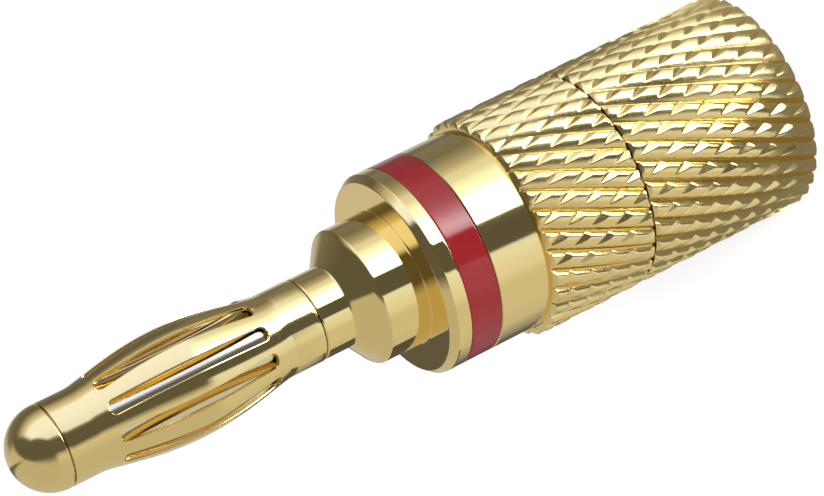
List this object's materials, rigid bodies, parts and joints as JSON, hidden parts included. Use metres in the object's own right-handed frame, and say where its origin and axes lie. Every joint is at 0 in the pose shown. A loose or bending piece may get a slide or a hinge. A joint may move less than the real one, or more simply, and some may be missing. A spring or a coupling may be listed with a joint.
{
  "type": "banana plug",
  "caption": "Gold-plated banana plug with a turning slotted spring cage, coloured ring and knurled screw-on cable shell that closes a split clamp sleeve.",
  "frame": {"origin": "middle of the cable end, which the plug stands on", "axes": "+Z along the plug's axis toward the tip; the first slot of the spring cage faces the -Y side, 9.3 degrees toward +X"},
  "size_m": [0.0104, 0.0104, 0.0392],
  "materials": {
    "contact_gold": "polished gold plate on a turned brass pin",
    "cage_gold": "bright gold plate on spring bronze",
    "body_gold": "polished gold plate on turned brass",
    "ring_red": "glossy red",
    "grip_gold": "gold plate, polished in front and diamond-knurled behind",
    "shell_gold": "gold plate, diamond-knurled",
    "clamp_brass": "plain turned brass"
  },
  "bodies": {
    "plug": {"plug_body": "body_gold", "core_pin": "contact_gold", "colour_ring": "ring_red", "grip": "grip_gold"},
    "cage": {"spring_cage": "cage_gold"},
    "clamp": {"clamp_sleeve": "clamp_brass"},
    "shell": {"cable_shell": "shell_gold"}
  },
  "joints": [
    {"name": "cage_turn", "type": "hinge", "parent": "plug", "child": "cage", "pos_m": [0, 0, 0.0308], "axis": [0, 0, 1], "continuous": true},
    {"name": "clamp_travel", "type": "slide", "parent": "plug", "child": "clamp", "axis": [0, 0, -1], "range_m": [0, 0.003]},
    {"name": "shell_turn", "type": "hinge", "parent": "clamp", "child": "shell", "pos_m": [0, 0, 0.0045], "axis": [0, 0, -1], "range_deg": [0, 1440]}
  ],
  "couplings": [
    {"joint": "clamp_travel", "follows": "shell_turn", "m_per_rad": 0.00011936}
  ]
}
